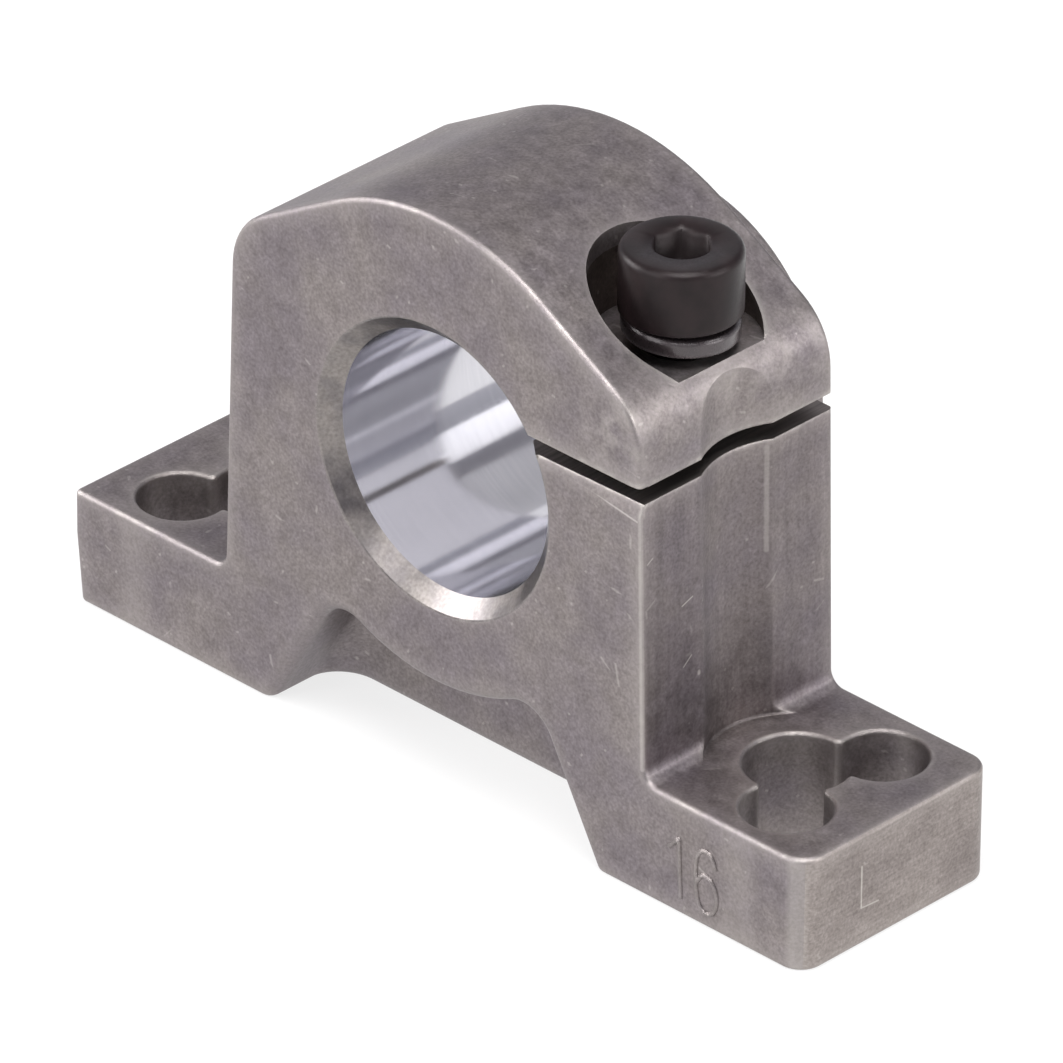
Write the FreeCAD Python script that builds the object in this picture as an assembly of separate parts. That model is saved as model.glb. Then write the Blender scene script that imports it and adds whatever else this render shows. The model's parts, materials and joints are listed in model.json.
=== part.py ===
import FreeCAD, Part
import math
import os

V = FreeCAD.Vector
os.makedirs("parts", exist_ok=True)

# All sizes in millimetres. X runs along the length, Y along the shaft, Z up from the mounting
# face. The origin is on the mounting face, straight below the middle of the bore.

# Shaft bore. The cast number gives the shaft size.
SHAFT_D = 16.0
AXIS_H = 20.4            # mounting face to bore axis
BORE_CHAMFER = 1.0
BORE_RIM_R = 0.15        # worn rounding where the chamfer meets the face

# Hub round the bore on the back face. The mirror image of the slit in the bore gives its reach.
HUB_OUT = 5.5
HUB_R = 10.4             # as large as the wall beside it can hide
HUB_ROOT_R = 0.8

# Casting.
LENGTH = 57.2
WIDTH = 15.3             # along the shaft
FOOT_H = 7.2
ARCH_R = 16.0            # outer arch, round the bore axis
SHOULDER_DEG = 30.0      # slope of the flats that leave the arch
UPRIGHT_HALF = 16.4      # half width of the upright where it meets the feet
DRAFT_DEG = 1.6          # mould draft of the walls and the screw head reliefs
SHOULDER_R = 4.5         # rounding between shoulder and wall
ROOT_R = 0.9             # inside rounding between wall and foot
FOOT_CORNER_R = 1.5      # upright corners of the +X foot
FAR_CORNER_R = 0.4       # and of the -X foot
FAR_END_LEAN = 0.45      # how far the -X end runs in below the mould parting line
PARTING_H = 4.4
EDGE_R = 0.3             # tumbled outside edges

# Clamp slit, on the +X side of the bore, with a filed facet under its front lip.
SLIT_H = 1.0
SLIT_UP = 4.75           # middle of the slit above the bore axis
FACET_AT_BORE = 0.45     # height of the facet at the bore
FACET_AT_WALL = 1.2      # and at the wall
FACET_LEAN = 0.3         # how deep it goes for each mm of height

# Mounting holes, three lobes in each foot.
LOBE_MAIN_R = 3.1
LOBE_SIDE_R = 2.65
LOBE_STEP = 2.8          # from the main lobe out to the side lobes
END_WALL = 2.25          # between the side lobes and the end of the foot
LOBE_SIDE_SHARE = 0.25   # how far out along Y the side lobes are, as a share of WIDTH
CUSP_R = 0.3             # the rounded ridges between the lobes
RIM_R = 0.15
RELIEF_R = 5.25          # hollow in the wall, for the head of a screw in the main lobe

# Pockets under the bore, one from each face, with a rib left between them.
POCKET_HALF = 12.7       # half width at the mounting face
POCKET_SIDE_DEG = 61.0
POCKET_ARCH_R = 13.9     # round the bore axis
POCKET_CORNER_R = 2.3
POCKET_FLOOR_R = 2.0
POCKET_LIP_R = 0.8       # rounding round the pocket mouth and under the foot beside it
RIB_T = 4.9

# Clamp screw M4 x 16.
SCREW_WALL = 1.5         # between the bore and the tapped hole
SCREW_D = 4.0
SCREW_LEN = 16.0
SCREW_POINT = 0.5        # chamfer at the end of the thread
HEAD_D = 7.0
HEAD_H = 4.0
HEAD_EDGE_R = 0.45
HEAD_FOOT_R = 0.15
HEX_AF = 3.0
HEX_DEEP = 2.0
THREAD_PLAY = 0.04       # between screw and tapped hole, all round
THROUGH_D = 4.5
TAP_DEEP = 11.2          # below the slit
HEAD_SEAT_UP = 9.8       # floor of the cast head pocket above the bore axis
HEAD_POCKET_IN = 0.35    # the cast pocket is a little inboard of the drilled hole
HEAD_POCKET_R = 4.85

# Spring lock washer, not pressed flat.
WASHER_ID = 4.2
WASHER_OD = 6.7
WASHER_T = 1.1
WASHER_FREE_H = 2.1
WASHER_GAP_DEG = 14.0
WASHER_SPLIT_DEG = 200.0  # where its split is, seen from above
WASHER_EDGE_R = 0.25

# Sizes that follow from the ones above.
half_l = LENGTH / 2
half_w = WIDTH / 2
bore_r = SHAFT_D / 2
draft = math.tan(math.radians(DRAFT_DEG))
top_z = AXIS_H + ARCH_R
slit_z = AXIS_H + SLIT_UP
slit_low = slit_z - SLIT_H / 2
head_seat_z = AXIS_H + HEAD_SEAT_UP
tap_r = SCREW_D / 2
screw_x = bore_r + SCREW_WALL + tap_r
lobe_side_x = half_l - END_WALL - LOBE_SIDE_R
lobe_side_y = LOBE_SIDE_SHARE * WIDTH
lobe_main_x = lobe_side_x - LOBE_STEP
pocket_deep = half_w - RIB_T / 2
hub_y = half_w + HUB_OUT
spare = 2.0              # how far a cutting shape stands out of what it cuts


def prism(outline, y0, y1):
    """Push a closed XZ outline along Y. A third value on a point is the middle of an arc."""
    edges = []
    for start, end in zip(outline, outline[1:] + outline[:1]):
        a, b = V(start[0], y0, start[1]), V(end[0], y0, end[1])
        if len(start) == 3:
            edges.append(Part.Arc(a, V(start[2][0], y0, start[2][1]), b).toShape())
        else:
            edges.append(Part.makeLine(a, b))
    return Part.Face(Part.Wire(edges)).extrude(V(0, y1 - y0, 0))


def edges_where(shape, test):
    """The edges of a shape whose bounding box passes the test."""
    return [edge for edge in shape.Edges if test(edge.BoundBox)]


def near(a, b):
    return abs(a - b) < 0.02


def round_bore_axis(angle_deg, radius):
    angle = math.radians(angle_deg)
    return radius * math.cos(angle), AXIS_H + radius * math.sin(angle)


def upright(x, y, z, radius, height, top_radius=None):
    """A vertical cylinder, or a cone when it is given a second radius."""
    if top_radius is None:
        return Part.makeCylinder(radius, height, V(x, y, z))
    return Part.makeCone(radius, top_radius, height, V(x, y, z))


# Blank of the casting. The shoulder flats are tangents of the arch.
slope = math.radians(SHOULDER_DEG)
shoulder_z = ((ARCH_R + AXIS_H * math.cos(slope) - (UPRIGHT_HALF + FOOT_H * draft) * math.sin(slope))
              / (math.cos(slope) - draft * math.sin(slope)))
shoulder_x = UPRIGHT_HALF - (shoulder_z - FOOT_H) * draft
right_tangent = round_bore_axis(90 - SHOULDER_DEG, ARCH_R)
left_tangent = (-right_tangent[0], right_tangent[1])
blank = prism([(-half_l, 0), (half_l, 0), (half_l, FOOT_H), (UPRIGHT_HALF, FOOT_H),
               (shoulder_x, shoulder_z), right_tangent + ((0, top_z),), left_tangent,
               (-shoulder_x, shoulder_z), (-UPRIGHT_HALF, FOOT_H), (-half_l, FOOT_H)], -half_w, half_w)
blank = blank.makeFillet(SHOULDER_R, edges_where(blank, lambda b: b.YLength > half_w
                         and near(abs(b.Center.x), shoulder_x) and near(b.Center.z, shoulder_z)))
blank = blank.makeFillet(ROOT_R, edges_where(blank, lambda b: b.YLength > half_w
                         and near(abs(b.Center.x), UPRIGHT_HALF) and near(b.Center.z, FOOT_H)))
blank = blank.cut(prism([(-half_l - spare, PARTING_H), (-half_l - spare, 0), (-half_l + FAR_END_LEAN, 0),
                         (-half_l, PARTING_H)], -half_w - spare, half_w + spare))
for side, corner_r in ((-1, FAR_CORNER_R), (1, FOOT_CORNER_R)):
    blank = blank.makeFillet(corner_r, edges_where(blank, lambda b: b.ZLength > FOOT_H / 3
                             and b.XLength < 2 * FAR_END_LEAN and b.YLength < 0.02
                             and abs(b.Center.x - side * half_l) < FAR_END_LEAN))

# Pocket in each face, under the bore.
side_run = 1 / math.tan(math.radians(POCKET_SIDE_DEG))
# The sloped side meets the pocket arch where its point is POCKET_ARCH_R from the bore axis.
a = side_run ** 2 + 1
b = -2 * (POCKET_HALF * side_run + AXIS_H)
c = POCKET_HALF ** 2 + AXIS_H ** 2 - POCKET_ARCH_R ** 2
corner_z = (-b - math.sqrt(b * b - 4 * a * c)) / (2 * a)
corner_x = POCKET_HALF - corner_z * side_run
low_x = POCKET_HALF + spare * side_run
for side in (-1, 1):
    floor_y = side * RIB_T / 2
    pocket = prism([(-low_x, -spare), (low_x, -spare),
                    (corner_x, corner_z, (0, AXIS_H - POCKET_ARCH_R)), (-corner_x, corner_z)],
                   floor_y, side * (half_w + spare))
    pocket = pocket.makeFillet(POCKET_CORNER_R, edges_where(pocket, lambda b: b.YLength > pocket_deep
                               and near(abs(b.Center.x), corner_x) and near(b.Center.z, corner_z)))
    pocket = pocket.makeFillet(POCKET_FLOOR_R, edges_where(pocket, lambda b: near(b.Center.y, floor_y)
                               and b.YLength < 0.02 and b.ZMax > 0))
    blank = blank.cut(pocket)


def round_pocket(box):
    return abs(box.Center.x) < POCKET_HALF + POCKET_LIP_R and box.ZMax < corner_z + POCKET_LIP_R


blank = blank.makeFillet(POCKET_LIP_R, edges_where(blank, lambda b: round_pocket(b)
                         and ((near(abs(b.Center.y), half_w) and b.ZMax > 0.02)
                              or (near(abs(b.Center.x), POCKET_HALF) and b.ZMax < 0.02))))

# Tumbled edges of the two faces, the base and the ends.
blank = blank.makeFillet(EDGE_R, edges_where(blank, lambda b: (
    near(abs(b.Center.y), half_w) and not (round_pocket(b) and b.ZMax > 0.02))
    or (b.ZLength < 0.02 and not near(b.Center.z, PARTING_H) and abs(b.Center.x) > half_l - FOOT_CORNER_R)))

# Hub on the back face.
hub = Part.makeCone(HUB_R, HUB_R - HUB_OUT * draft, HUB_OUT, V(0, half_w, AXIS_H), V(0, 1, 0))
hub = hub.makeFillet(EDGE_R, edges_where(hub, lambda b: near(b.YMin, hub_y)))
body = blank.fuse(hub).removeSplitter()
body = body.makeFillet(HUB_ROOT_R, edges_where(body, lambda b: near(b.YMin, half_w) and near(b.YMax, half_w)
                       and near(b.ZLength, 2 * HUB_R)))

# Hollow in each wall over the main lobe, then the three-lobed hole through each foot.
relief_h = top_z - FOOT_H + spare
for side in (-1, 1):
    x = side * lobe_main_x
    body = body.cut(upright(x, 0, FOOT_H, RELIEF_R, relief_h, RELIEF_R + relief_h * draft))
    hole = upright(x, 0, -spare, LOBE_MAIN_R, FOOT_H + 2 * spare)
    for y in (-lobe_side_y, lobe_side_y):
        hole = hole.fuse(upright(side * lobe_side_x, y, -spare, LOBE_SIDE_R, FOOT_H + 2 * spare))
    hole = hole.removeSplitter()
    cusps = [edge for edge in hole.Edges if len(edge.Vertexes) == 2 and edge.BoundBox.ZLength > FOOT_H
             and len(hole.ancestorsOfType(edge, Part.Face)) == 2
             and not hole.ancestorsOfType(edge, Part.Face)[0].isSame(
                 hole.ancestorsOfType(edge, Part.Face)[1])]
    body = body.cut(hole.makeFillet(CUSP_R, cusps))
body = body.makeFillet(RIM_R, edges_where(body, lambda b: near(b.Center.z, FOOT_H) and b.ZLength < 0.02
                       and abs(b.Center.x) > lobe_main_x - LOBE_MAIN_R
                       and b.YMax < lobe_side_y + LOBE_SIDE_R + 0.1
                       and b.YMin > -lobe_side_y - LOBE_SIDE_R - 0.1))

# Bore, slit and the filed facet under the slit.
bore_long = half_w + hub_y
body = body.cut(Part.makeCylinder(bore_r, bore_long + 2 * spare, V(0, -half_w - spare, AXIS_H), V(0, 1, 0)))
for side, end_y in ((-1, -half_w), (1, hub_y)):
    body = body.cut(Part.makeCone(bore_r + BORE_CHAMFER + spare, bore_r, BORE_CHAMFER + spare,
                                  V(0, end_y + side * spare, AXIS_H), V(0, -side, 0)))
body = body.makeFillet(BORE_RIM_R, edges_where(body, lambda b: (near(b.YMin, -half_w) or near(b.YMax, hub_y))
                       and near(b.Center.x, 0) and near(b.ZLength, SHAFT_D + 2 * BORE_CHAMFER)))
body = body.cut(Part.makeBox(UPRIGHT_HALF + spare, bore_long + 2 * spare, SLIT_H,
                             V(0, -half_w - spare, slit_low)))
ends = []
for x, h in ((bore_r, FACET_AT_BORE), (shoulder_x + spare, FACET_AT_WALL)):
    lean = FACET_LEAN * h
    low, high = V(x, -half_w - lean, slit_low - 2 * h), V(x, -half_w - lean, slit_low + h)
    ends.append(Part.makePolygon([low, V(x, -half_w + 2 * lean, slit_low + h), high, low]))
body = body.cut(Part.makeLoft(ends, True, True))

# Head pocket, through hole above the slit and tapped hole below it.
pocket_h = top_z - head_seat_z + spare
body = body.cut(upright(screw_x - HEAD_POCKET_IN, 0, head_seat_z, HEAD_POCKET_R, pocket_h,
                        HEAD_POCKET_R + pocket_h * draft))
body = body.cut(upright(screw_x, 0, slit_z, THROUGH_D / 2, head_seat_z - slit_z + spare))
tap_z = slit_low - TAP_DEEP
body = body.cut(upright(screw_x, 0, tap_z, tap_r, TAP_DEEP + SLIT_H / 2))
point_h = tap_r * math.tan(math.radians(30))
body = body.cut(upright(screw_x, 0, tap_z - point_h, 0, point_h, tap_r))
body.removeSplitter().exportStep("parts/support_body.step")

# Clamp screw, turned as one shape, with a hexagon socket.
under_head = head_seat_z + WASHER_FREE_H
shank_r = tap_r - THREAD_PLAY
end_z = under_head - SCREW_LEN
head = upright(screw_x, 0, under_head, HEAD_D / 2, HEAD_H)
head = head.makeFillet(HEAD_EDGE_R, edges_where(head, lambda b: near(b.ZMin, under_head + HEAD_H)))
head = head.makeFillet(HEAD_FOOT_R, edges_where(head, lambda b: near(b.ZMax, under_head)))
shank = upright(screw_x, 0, end_z, shank_r, SCREW_LEN + HEAD_H / 4)
shank = shank.makeChamfer(SCREW_POINT, edges_where(shank, lambda b: near(b.ZMax, end_z)))
corner_r = HEX_AF / math.sqrt(3)
socket_z = under_head + HEAD_H - HEX_DEEP
hexagon = Part.makePolygon([V(screw_x + corner_r * math.cos(math.radians(60 * k + 15)),
                              corner_r * math.sin(math.radians(60 * k + 15)), socket_z) for k in range(7)])
socket = Part.Face(hexagon).extrude(V(0, 0, HEX_DEEP + spare))
socket = socket.fuse(upright(screw_x, 0, socket_z - HEX_AF / 4, 0, HEX_AF / 4, HEX_AF / 2))
screw = head.fuse(shank).cut(socket)
mouth_h = corner_r - HEX_AF / 2
screw = screw.cut(upright(screw_x, 0, under_head + HEAD_H - mouth_h, HEX_AF / 2, mouth_h, corner_r))
screw.removeSplitter().exportStep("parts/clamp_screw.step")

# Lock washer: a left-hand turn of rounded square section, split where it starts and ends.
mean_r = (WASHER_OD + WASHER_ID) / 4
half_b = (WASHER_OD - WASHER_ID) / 4
half_t = WASHER_T / 2
turn = (360 - WASHER_GAP_DEG) / 360
rise = WASHER_FREE_H - WASHER_T
path = Part.makeHelix(rise / turn, rise, mean_r, 0, True)
edges = []
for k in range(4):
    sx, sz = ((1, 1), (-1, 1), (-1, -1), (1, -1))[k]
    centre = V(mean_r + sx * (half_b - WASHER_EDGE_R), 0, sz * (half_t - WASHER_EDGE_R))
    angles = [math.radians(90 * k + t) for t in (0, 45, 90)]
    a, b, c = [centre + WASHER_EDGE_R * V(math.cos(t), 0, math.sin(t)) for t in angles]
    if edges:
        edges.append(Part.makeLine(edges[-1].Vertexes[-1].Point, a))
    edges.append(Part.Arc(a, b, c).toShape())
edges.append(Part.makeLine(c, edges[0].Vertexes[0].Point))
washer = Part.Wire(path).makePipeShell([Part.Wire(edges)], True, True)
washer.rotate(V(0, 0, 0), V(0, 0, 1), WASHER_SPLIT_DEG - WASHER_GAP_DEG / 2)
washer.translate(V(screw_x, 0, head_seat_z + half_t))
washer.exportStep("parts/lock_washer.step")
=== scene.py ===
# %% [markdown]
# # A clamping shaft support, dressed for its portrait
# The object is a small die-cast aluminium block that holds a 16 mm shaft. A slit runs from the
# bore to the outside, and a black socket head screw on a spring lock washer squeezes it shut.
# The solids come ready made and to size. This script gives them their finish, adds the cast
# number and the screw's thread, and sets up the light and the camera.

import json
import math

import bmesh
import bpy
from mathutils import Matrix, Vector


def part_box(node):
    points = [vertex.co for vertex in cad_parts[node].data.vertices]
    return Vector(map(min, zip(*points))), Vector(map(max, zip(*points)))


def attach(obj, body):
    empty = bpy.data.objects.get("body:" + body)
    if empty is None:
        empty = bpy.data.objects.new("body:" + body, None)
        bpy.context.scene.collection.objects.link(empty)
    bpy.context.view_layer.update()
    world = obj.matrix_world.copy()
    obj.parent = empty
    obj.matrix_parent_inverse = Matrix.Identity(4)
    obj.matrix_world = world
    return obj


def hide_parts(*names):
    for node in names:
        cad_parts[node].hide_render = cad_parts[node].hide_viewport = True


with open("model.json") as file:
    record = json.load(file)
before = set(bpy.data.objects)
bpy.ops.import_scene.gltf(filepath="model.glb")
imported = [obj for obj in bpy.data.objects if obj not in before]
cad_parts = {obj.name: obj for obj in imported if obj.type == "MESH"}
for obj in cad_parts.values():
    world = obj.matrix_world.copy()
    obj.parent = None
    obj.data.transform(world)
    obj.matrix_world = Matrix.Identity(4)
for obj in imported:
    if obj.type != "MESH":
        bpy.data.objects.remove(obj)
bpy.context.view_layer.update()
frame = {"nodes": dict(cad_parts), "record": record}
mounts = {mount["name"]: mount for mount in frame["record"]["mounts"]}
MM = 0.001
body_low, body_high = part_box("support_body")
print("block, mm:", [round(v / MM, 2) for v in (body_high - body_low)])

# %% [markdown]
# ## Sizes that the finishes need
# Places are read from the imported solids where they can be, so the finish stays on the metal
# when a size changes. The bore's axis and radius come from its mount, the front and the end
# from the block's own box. What neither gives, such as the slit's height, is a named value
# where it is first needed.

# %% Read the places on the block
bore_axis = Vector((0, 0, mounts["shaft_bore"]["pos_m"][2]))
bore_r = mounts["shaft_bore"]["dims"]["r_mm"] * MM
front_y, end_x = body_low.y, body_high.x
foot_top = 2 * mounts["side_holes"]["pos_m"][2]
print("bore axis at height", round(bore_axis.z / MM, 2), "radius", round(bore_r / MM, 2))

# %% [markdown]
# ## Small helpers
# Colours are given as the hex values that a paint program shows, and Blender works in
# linear light, so one function turns them over. Another adds a node with its settings and
# links in one line, which keeps each material short enough to read. Two more start an empty
# material and put a new object into the scene.


# %% Turn a colour to linear light
def linear(hex_value):
    """An sRGB hex colour such as "8A8283" as linear red, green, blue and alpha."""
    parts = [int(hex_value[k : k + 2], 16) / 255 for k in (0, 2, 4)]
    return [c / 12.92 if c <= 0.04045 else ((c + 0.055) / 1.055) ** 2.4 for c in parts] + [1.0]


print("8A8283 in linear light:", [round(c, 3) for c in linear("8A8283")])


# %% Add a node
def add(tree, kind, *values, out=0, **named):
    """Adds a node and gives its output number out.

    Names in small letters are the node's own settings, and go first because they decide which
    sockets it shows. Values without a name fill the shown inputs in order. A name with a
    capital is an input's, with _ for a space. A value is plain, a hex colour or a socket.
    """
    whole_name = kind.startswith(("GeometryNode", "NodeGroup"))
    node = tree.nodes.new(kind if whole_name else "ShaderNode" + kind)
    for name, setting in named.items():
        if name[0].islower():
            setattr(node, name, setting)
    filled = list(zip([socket for socket in node.inputs if socket.enabled], values))
    capitals = {name.replace("_", " "): value for name, value in named.items() if name[0].isupper()}
    filled += [(node.inputs[name], value) for name, value in capitals.items()]
    for socket, value in filled:
        if isinstance(value, bpy.types.NodeSocket):
            tree.links.new(value, socket)
        else:
            socket.default_value = linear(value) if isinstance(value, str) else value
    shown = [socket for socket in node.outputs if socket.enabled]
    return shown[out] if shown else None


def new_material(name):
    """A material with an empty tree."""
    material = bpy.data.materials.new(name)
    material.use_nodes = True
    material.node_tree.nodes.clear()
    return material, material.node_tree


def place(name, data):
    """A new object in the scene with this mesh, curve, light or camera."""
    thing = bpy.data.objects.new(name, data)
    bpy.context.scene.collection.objects.link(thing)
    return thing


print("nodes are added by", add.__name__, "and objects by", place.__name__)

# %% [markdown]
# ## Patterns in millimetres
# A noise texture has no size of its own, so the object coordinates are turned into millimetres
# first, counted from the bore's axis. A noise scale is then one over the size of its blots, and
# each number below can be checked against the real surface with a ruler. Noise seldom strays
# far from 0.5, so its values are stretched from a span about it to the whole way from 0 to 1.


# %% Count in millimetres
def millimetres(tree, stretch=(1, 1, 1)):
    """Object coordinates in millimetres from the bore axis, with patterns drawn out by stretch."""
    where = add(tree, "TexCoord").node.outputs["Object"]
    scale = [s * MM for s in stretch]
    return add(tree, "Mapping", where, vector_type="TEXTURE", Location=bore_axis, Scale=scale)


CLOUD_MM, MOTTLE_MM, GRAIN_MM = 4.5, 0.9, 0.2
WIDE_SPAN, TIGHT_SPAN = (0.3, 0.7), (0.35, 0.65)
print("clouds, mottling and grain, mm:", CLOUD_MM, MOTTLE_MM, GRAIN_MM)

# %% [markdown]
# ## Tumbled die-cast aluminium
# The block is cast in a steel mould and then tumbled with stones to take off the burrs. That
# leaves a warm grey, satin metal with soft mottling, a fine grain, short scratches, small
# bright flecks where stones struck, and edges that are rubbed bright. Inside corners are darkened
# as painted shade, and a soft band beside the edges is lightened, partly as wear and partly as a
# painted highlight. The finish is put together in five steps: the cloudy colour, the scattered
# nicks, the marks that have a place (some of them painted highlights), the rubbed edges with the
# painted shade and highlight and, last, the whole metal.
#
# The colour comes first. Large clouds mix two greys, and the mottling and the grain each
# darken it a little where their noise is low.

# %% Cloudy colour
MOTTLE_SHADE, GRAIN_SHADE = "E4E3E2", "D2D1D0"


def cloudy_colour(tree, where, dark, light):
    """The casting's colour, and with it the mottling and the grain that made it."""
    cloud = add(tree, "TexNoise", where, Scale=1 / CLOUD_MM, Detail=3.0)
    mottle = add(tree, "TexNoise", where, Scale=1 / MOTTLE_MM, Detail=3.0, Roughness=0.6)
    grain = add(tree, "TexNoise", where, Scale=1 / GRAIN_MM, Detail=3.0, Roughness=0.6)
    tone = add(tree, "Mix", add(tree, "MapRange", cloud, *TIGHT_SPAN), dark, light, data_type="RGBA")
    for pattern, shade in ((mottle, MOTTLE_SHADE), (grain, GRAIN_SHADE)):
        darker = add(tree, "Mix", 1.0, tone, shade, data_type="RGBA", blend_type="MULTIPLY")
        tone = add(tree, "Mix", add(tree, "MapRange", pattern, *WIDE_SPAN), darker, tone, data_type="RGBA")
    return tone, mottle, grain


print("shades of mottling and grain:", MOTTLE_SHADE, GRAIN_SHADE)

# %% [markdown]
# The nicks of tumbling are short, straight and turned at random. A Voronoi pattern cuts space
# into cells. Each cell has a middle and a random colour, so a mark can be drawn about the
# middle, turned by one part of the colour, and left out where another part is low.

# %% Scattered nicks
LONG_NICKS = {"every_mm": 2.6, "long_mm": 1.0, "wide_mm": 0.06, "share": 0.07}
SHORT_NICKS = {"every_mm": 0.9, "long_mm": 0.22, "wide_mm": 0.1, "share": 0.12}
LONG_NICK_STRENGTH, SHORT_NICK_STRENGTH = 0.22, 0.32


def nicks(tree, where, every_mm, long_mm, wide_mm, share):
    """1 on a straight nick in some of the cells, each turned its own way."""
    cells = add(tree, "TexVoronoi", where, Scale=1 / every_mm).node.outputs
    draw = add(tree, "SeparateColor", cells["Color"]).node.outputs
    offset = add(tree, "VectorMath", where, cells["Position"], operation="SUBTRACT")
    angle = add(tree, "Math", draw[1], math.tau, operation="MULTIPLY")
    turned = add(tree, "VectorRotate", offset, Axis=cells["Color"], Angle=angle, rotation_type="AXIS_ANGLE")
    along = add(tree, "SeparateXYZ", turned).node.outputs
    beside = add(tree, "Math", along[1], operation="ABSOLUTE")
    thin = add(tree, "MapRange", beside, wide_mm * 0.3, wide_mm, 1.0, 0.0)
    from_middle = add(tree, "Math", along[0], operation="ABSOLUTE")
    short = add(tree, "MapRange", from_middle, long_mm * 0.35, long_mm * 0.5, 1.0, 0.0)
    chosen = add(tree, "MapRange", draw[0], 1 - share, 1 - share + 0.02)
    nick = add(tree, "Math", thin, short, operation="MULTIPLY")
    return add(tree, "Math", nick, chosen, operation="MULTIPLY")


print("one cell in", round(1 / LONG_NICKS["share"]), "has a long nick, one in",
      round(1 / SHORT_NICKS["share"]), "a short one")

# %% [markdown]
# A few marks sit at one spot: an L-shaped scratch on the end face, some short ones on the
# wall, and bright flecks on a top corner of the end. Others are painted highlights: a line down
# the edge of the wall's hollow, a line along the front edge of the facet under the slit, and
# strips down two vertical corners. Each is a straight line between two points, and a shader
# can work out how far a place is from it.

# %% Marks that have a place
END_MM, FRONT_MM = end_x / MM, front_y / MM
L_SCRATCH = (
    ((END_MM, -2.95, 5.1), (END_MM, -2.93, 2.42), 0.13, 0.9),
    ((END_MM, -2.93, 2.42), (END_MM, -1.56, 2.33), 0.12, 0.8),
)
WALL_SCRATCHES = (
    ((16.02, -7.11, 20.81), (16.02, -6.72, 21.04), 0.1, 0.7),
    ((16.12, -4.42, 17.08), (16.12, -3.6, 17.37), 0.1, 0.8),
    ((16.23, -4.34, 13.2), (16.22, -3.72, 13.7), 0.1, 0.8),
    ((16.26, -3.13, 12.3), (16.26, -3.13, 12.42), 0.25, 0.8),
)
# A painted highlight down the edge of the wall's hollow.
HOLLOW_EDGE_HIGHLIGHT = (((15.75, 2.53, 24.2), (15.94, 2.46, 17.72), 0.34, 0.36),)
# A painted highlight along the front edge of the facet under the slit.
FACET_EDGE_HIGHLIGHT = (
    ((9.3, FRONT_MM, 24.36), (12.5, FRONT_MM, 24.06), 0.12, 0.5),
    ((12.5, FRONT_MM, 24.06), (15.7, FRONT_MM + 0.02, 23.6), 0.12, 0.55),
)
# The first two are painted highlight strips down vertical corners, the last two bright flecks of wear on the
# end's top corner.
CORNER_HIGHLIGHTS_AND_FLECKS = (
    ((15.84, FRONT_MM + 0.09, 24.6), (16.29, FRONT_MM + 0.09, 8.0), 0.32, 0.5),
    ((END_MM - 0.68, FRONT_MM + 0.24, 0.5), (END_MM - 0.68, FRONT_MM + 0.24, 6.7), 1.3, 0.32),
    ((END_MM - 1.6, FRONT_MM + 0.2, 7.05), (END_MM - 0.8, FRONT_MM + 0.35, 7.0), 0.3, 0.8),
    ((END_MM - 0.4, FRONT_MM + 0.8, 7.0), (END_MM - 0.2, FRONT_MM + 1.5, 7.0), 0.25, 0.7),
)
PLACED_MARKS = L_SCRATCH + WALL_SCRATCHES + HOLLOW_EDGE_HIGHLIGHT + FACET_EDGE_HIGHLIGHT + CORNER_HIGHLIGHTS_AND_FLECKS


def mark(tree, where, start, end, wide_mm):
    """1 on the line from start to end, both in millimetres from the mounting face's middle."""
    lift = Vector((0, 0, bore_axis.z / MM))
    run = Vector(end) - Vector(start)
    from_start = add(tree, "VectorMath", where, Vector(start) - lift, operation="SUBTRACT")
    along = add(tree, "VectorMath", from_start, run, operation="DOT_PRODUCT")
    share = add(tree, "Clamp", add(tree, "Math", along, run.length_squared, operation="DIVIDE"))
    nearest = add(tree, "VectorMath", run, share, operation="SCALE")
    gap = add(tree, "VectorMath", from_start, nearest, operation="SUBTRACT")
    away = add(tree, "VectorMath", gap, operation="LENGTH")
    return add(tree, "MapRange", away, wide_mm * 0.25, wide_mm * 0.6, 1.0, 0.0)


def nicks_and_placed_marks(tree, where):
    """The scattered nicks and the placed marks, some of them painted highlights, as one value."""
    total = 0.0
    for kind, strength in ((LONG_NICKS, LONG_NICK_STRENGTH), (SHORT_NICKS, SHORT_NICK_STRENGTH)):
        one = add(tree, "Math", nicks(tree, where, **kind), strength, operation="MULTIPLY")
        total = add(tree, "Math", total, one, operation="MAXIMUM")
    for start, end, wide_mm, strength in PLACED_MARKS:
        one = add(tree, "Math", mark(tree, where, start, end, wide_mm), strength, operation="MULTIPLY")
        total = add(tree, "Math", total, one, operation="MAXIMUM")
    return total


print(len(PLACED_MARKS), "marks have a place")

# %% [markdown]
# Stones rub the outside edges bright and don't reach into corners. An ambient occlusion node
# that looks inwards finds thin metal, which is what an outside edge is: a short reach gives
# the rubbed line and a longer one the soft halo beside it, which is partly wear and partly a
# painted highlight. The mottling and the grain make the line ragged. A node that looks outwards
# finds the inside corners, and they are darkened with painted shade. One broad crest over the
# slit is rubbed as well, in patches.

# %% Rubbed edges, painted edge highlight and painted corner shade
EDGE_REACH, HALO_REACH, CORNER_REACH = 0.4 * MM, 1.5 * MM, 1.6 * MM
RUBBED_CREST = ((13.8, -7.6, 28.4), (13.8, 7.6, 28.4), 5.0)
CREST_PATCH_MM, CREST_SPAN, CREST_STRENGTH = 1.3, (0.42, 0.66), 0.3
# The last of these colours darkens inside corners: painted shade.
RUBBED, HALO_WEAR_AND_HIGHLIGHT, CREST, CORNER_SHADE = "D6D0CA", "BDB6B2", "CFC8C2", "2E2824"
MOTTLE_RAGGED, GRAIN_RAGGED = (-0.14, 0.14), (-0.06, 0.06)
EDGE_LIGHT, HALO_LIGHT, CORNER_LIGHT = (0.8, 0.5), (0.95, 0.55), (0.25, 0.75)
HALO_SHARE, CORNER_SHADE_SHARE = 0.4, 0.6


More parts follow.
